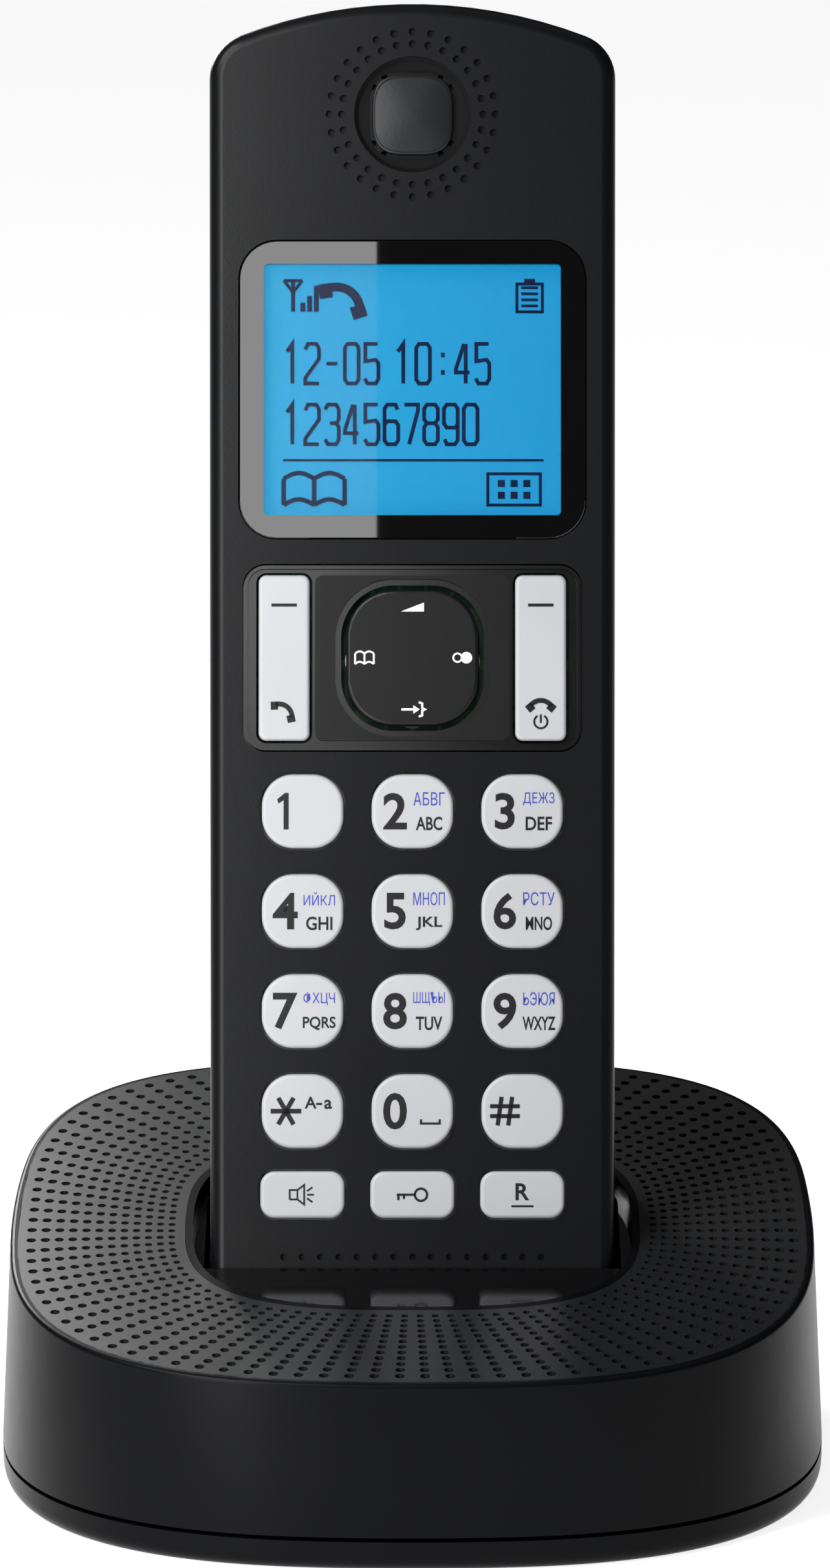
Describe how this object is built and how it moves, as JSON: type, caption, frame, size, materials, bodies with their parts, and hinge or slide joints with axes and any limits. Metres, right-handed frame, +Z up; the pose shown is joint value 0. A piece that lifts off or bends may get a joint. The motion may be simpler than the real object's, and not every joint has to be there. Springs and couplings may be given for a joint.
{
  "type": "cordless phone with base",
  "caption": "Slim bar-shaped cordless phone handset with a blue display, number keys and navigation key, standing in a low squircle charging base with a dotted top ring.",
  "frame": {"origin": "on the table under the middle of the base, at the bottom cover's flat underside", "axes": "+Z up, +X to the right of someone facing the keys, -Y towards that person"},
  "size_m": [0.0976, 0.0962, 0.1706],
  "materials": {
    "base_shell": "satin moulded plastic, near black",
    "gloss_black": "piano gloss",
    "handset_shell": "fine matte moulded texture, charcoal",
    "inlay_black": "matte black",
    "key_grey": "satin light grey with printed marks",
    "window": "polished clear window with a black printed border",
    "lcd_blue": "backlit blue display",
    "inner_white": "white moulded plastic",
    "board_green": "solder mask",
    "plated_metal": "plated sheet metal",
    "foot_rubber": "matte rubber",
    "keypad_rubber": "grey silicone",
    "black_part": "moulded component",
    "cell_wrap": "printed sleeve with no marks",
    "locator_grey": "satin grey"
  },
  "bodies": {
    "base": {"base_upper_housing": "base_shell", "base_top_ring": "base_shell", "base_bottom_cover": "base_shell", "base_screws": "plated_metal", "base_foot_pads": "foot_rubber", "cradle_insert": "gloss_black", "base_board": "board_green", "base_radio_module": "plated_metal", "base_capacitors": "black_part", "locator_switch": "black_part", "line_jack": "black_part", "power_jack": "black_part"},
    "handset": {"handset_front_cover": "handset_shell", "handset_rear_cover": "handset_shell", "handset_screws": "plated_metal", "handset_charge_plates": "plated_metal", "lcd_window": "window", "lcd_module": "lcd_blue", "lcd_holder": "inner_white", "control_bezel": "gloss_black", "control_inlay": "inlay_black", "handset_board": "board_green", "keypad_sheet": "keypad_rubber", "key_domes": "plated_metal", "handset_radio_shield": "plated_metal", "earpiece_gasket": "foot_rubber", "earpiece_speaker": "black_part", "microphone_boot": "foot_rubber", "microphone": "black_part", "ringer_speaker": "black_part", "battery_cells": "cell_wrap", "battery_contacts": "plated_metal"},
    "battery_door": {"battery_door": "handset_shell"},
    "charge_contact_left": {"charge_contact_left": "plated_metal"},
    "charge_contact_right": {"charge_contact_right": "plated_metal"},
    "locator_button": {"locator_button": "locator_grey"},
    "nav_pivot": {"nav_pivot": "inner_white"},
    "nav_key": {"nav_key": "inlay_black"},
    "talk_key": {"talk_key": "key_grey"},
    "off_key": {"off_key": "key_grey"},
    "key_1": {"key_1": "key_grey"},
    "key_2": {"key_2": "key_grey"},
    "key_3": {"key_3": "key_grey"},
    "key_4": {"key_4": "key_grey"},
    "key_5": {"key_5": "key_grey"},
    "key_6": {"key_6": "key_grey"},
    "key_7": {"key_7": "key_grey"},
    "key_8": {"key_8": "key_grey"},
    "key_9": {"key_9": "key_grey"},
    "key_star": {"key_star": "key_grey"},
    "key_0": {"key_0": "key_grey"},
    "key_hash": {"key_hash": "key_grey"},
    "key_speaker": {"key_speaker": "key_grey"},
    "key_lock": {"key_lock": "key_grey"},
    "key_recall": {"key_recall": "key_grey"}
  },
  "joints": [
    {"name": "handset_lift", "type": "slide", "parent": "base", "child": "handset", "axis": [0, 0.2588, 0.9659], "range_m": [0, 0.06]},
    {"name": "battery_door_release", "type": "slide", "parent": "handset", "child": "battery_door", "axis": [0, 0.9659, -0.2588], "range_m": [0, 0.01]},
    {"name": "charge_contact_left_press", "type": "slide", "parent": "base", "child": "charge_contact_left", "axis": [0, 0.2588, 0.9659], "range_m": [-0.0008, 0], "stiffness_N_per_m": 500},
    {"name": "charge_contact_right_press", "type": "slide", "parent": "base", "child": "charge_contact_right", "axis": [0, 0.2588, 0.9659], "range_m": [-0.0008, 0], "stiffness_N_per_m": 500},
    {"name": "locator_button_press", "type": "slide", "parent": "base", "child": "locator_button", "axis": [0, -0.2588, -0.9659], "range_m": [0, 0.0007], "stiffness_N_per_m": 800},
    {"name": "key_1_press", "type": "slide", "parent": "handset", "child": "key_1", "axis": [0, 0.9659, -0.2588], "range_m": [0, 0.0006], "stiffness_N_per_m": 800},
    {"name": "key_2_press", "type": "slide", "parent": "handset", "child": "key_2", "axis": [0, 0.9659, -0.2588], "range_m": [0, 0.0006], "stiffness_N_per_m": 800},
    {"name": "key_3_press", "type": "slide", "parent": "handset", "child": "key_3", "axis": [0, 0.9659, -0.2588], "range_m": [0, 0.0006], "stiffness_N_per_m": 800},
    {"name": "key_4_press", "type": "slide", "parent": "handset", "child": "key_4", "axis": [0, 0.9659, -0.2588], "range_m": [0, 0.0006], "stiffness_N_per_m": 800},
    {"name": "key_5_press", "type": "slide", "parent": "handset", "child": "key_5", "axis": [0, 0.9659, -0.2588], "range_m": [0, 0.0006], "stiffness_N_per_m": 800},
    {"name": "key_6_press", "type": "slide", "parent": "handset", "child": "key_6", "axis": [0, 0.9659, -0.2588], "range_m": [0, 0.0006], "stiffness_N_per_m": 800},
    {"name": "key_7_press", "type": "slide", "parent": "handset", "child": "key_7", "axis": [0, 0.9659, -0.2588], "range_m": [0, 0.0006], "stiffness_N_per_m": 800},
    {"name": "key_8_press", "type": "slide", "parent": "handset", "child": "key_8", "axis": [0, 0.9659, -0.2588], "range_m": [0, 0.0006], "stiffness_N_per_m": 800},
    {"name": "key_9_press", "type": "slide", "parent": "handset", "child": "key_9", "axis": [0, 0.9659, -0.2588], "range_m": [0, 0.0006], "stiffness_N_per_m": 800},
    {"name": "key_star_press", "type": "slide", "parent": "handset", "child": "key_star", "axis": [0, 0.9659, -0.2588], "range_m": [0, 0.0006], "stiffness_N_per_m": 800},
    {"name": "key_0_press", "type": "slide", "parent": "handset", "child": "key_0", "axis": [0, 0.9659, -0.2588], "range_m": [0, 0.0006], "stiffness_N_per_m": 800},
    {"name": "key_hash_press", "type": "slide", "parent": "handset", "child": "key_hash", "axis": [0, 0.9659, -0.2588], "range_m": [0, 0.0006], "stiffness_N_per_m": 800},
    {"name": "key_speaker_press", "type": "slide", "parent": "handset", "child": "key_speaker", "axis": [0, 0.9659, -0.2588], "range_m": [0, 0.0006], "stiffness_N_per_m": 800},
    {"name": "key_lock_press", "type": "slide", "parent": "handset", "child": "key_lock", "axis": [0, 0.9659, -0.2588], "range_m": [0, 0.0006], "stiffness_N_per_m": 800},
    {"name": "key_recall_press", "type": "slide", "parent": "handset", "child": "key_recall", "axis": [0, 0.9659, -0.2588], "range_m": [0, 0.0006], "stiffness_N_per_m": 800},
    {"name": "talk_key_rock", "type": "hinge", "parent": "handset", "child": "talk_key", "pos_m": [-0.0151, 0.00642, 0.09548], "axis": [1, 0, 0], "range_deg": [-3, 3], "stiffness_Nm_per_rad": 0.05},
    {"name": "off_key_rock", "type": "hinge", "parent": "handset", "child": "off_key", "pos_m": [0.0151, 0.00642, 0.09548], "axis": [1, 0, 0], "range_deg": [-3, 3], "stiffness_Nm_per_rad": 0.05},
    {"name": "nav_rock_up_down", "type": "hinge", "parent": "handset", "child": "nav_pivot", "pos_m": [0, 0.00884, 0.09483], "axis": [1, 0, 0], "range_deg": [-3, 3], "stiffness_Nm_per_rad": 0.05},
    {"name": "nav_rock_left_right", "type": "hinge", "parent": "nav_pivot", "child": "nav_key", "pos_m": [0, 0.00884, 0.09483], "axis": [0, 0.2588, 0.9659], "range_deg": [-3, 3], "stiffness_Nm_per_rad": 0.05}
  ]
}
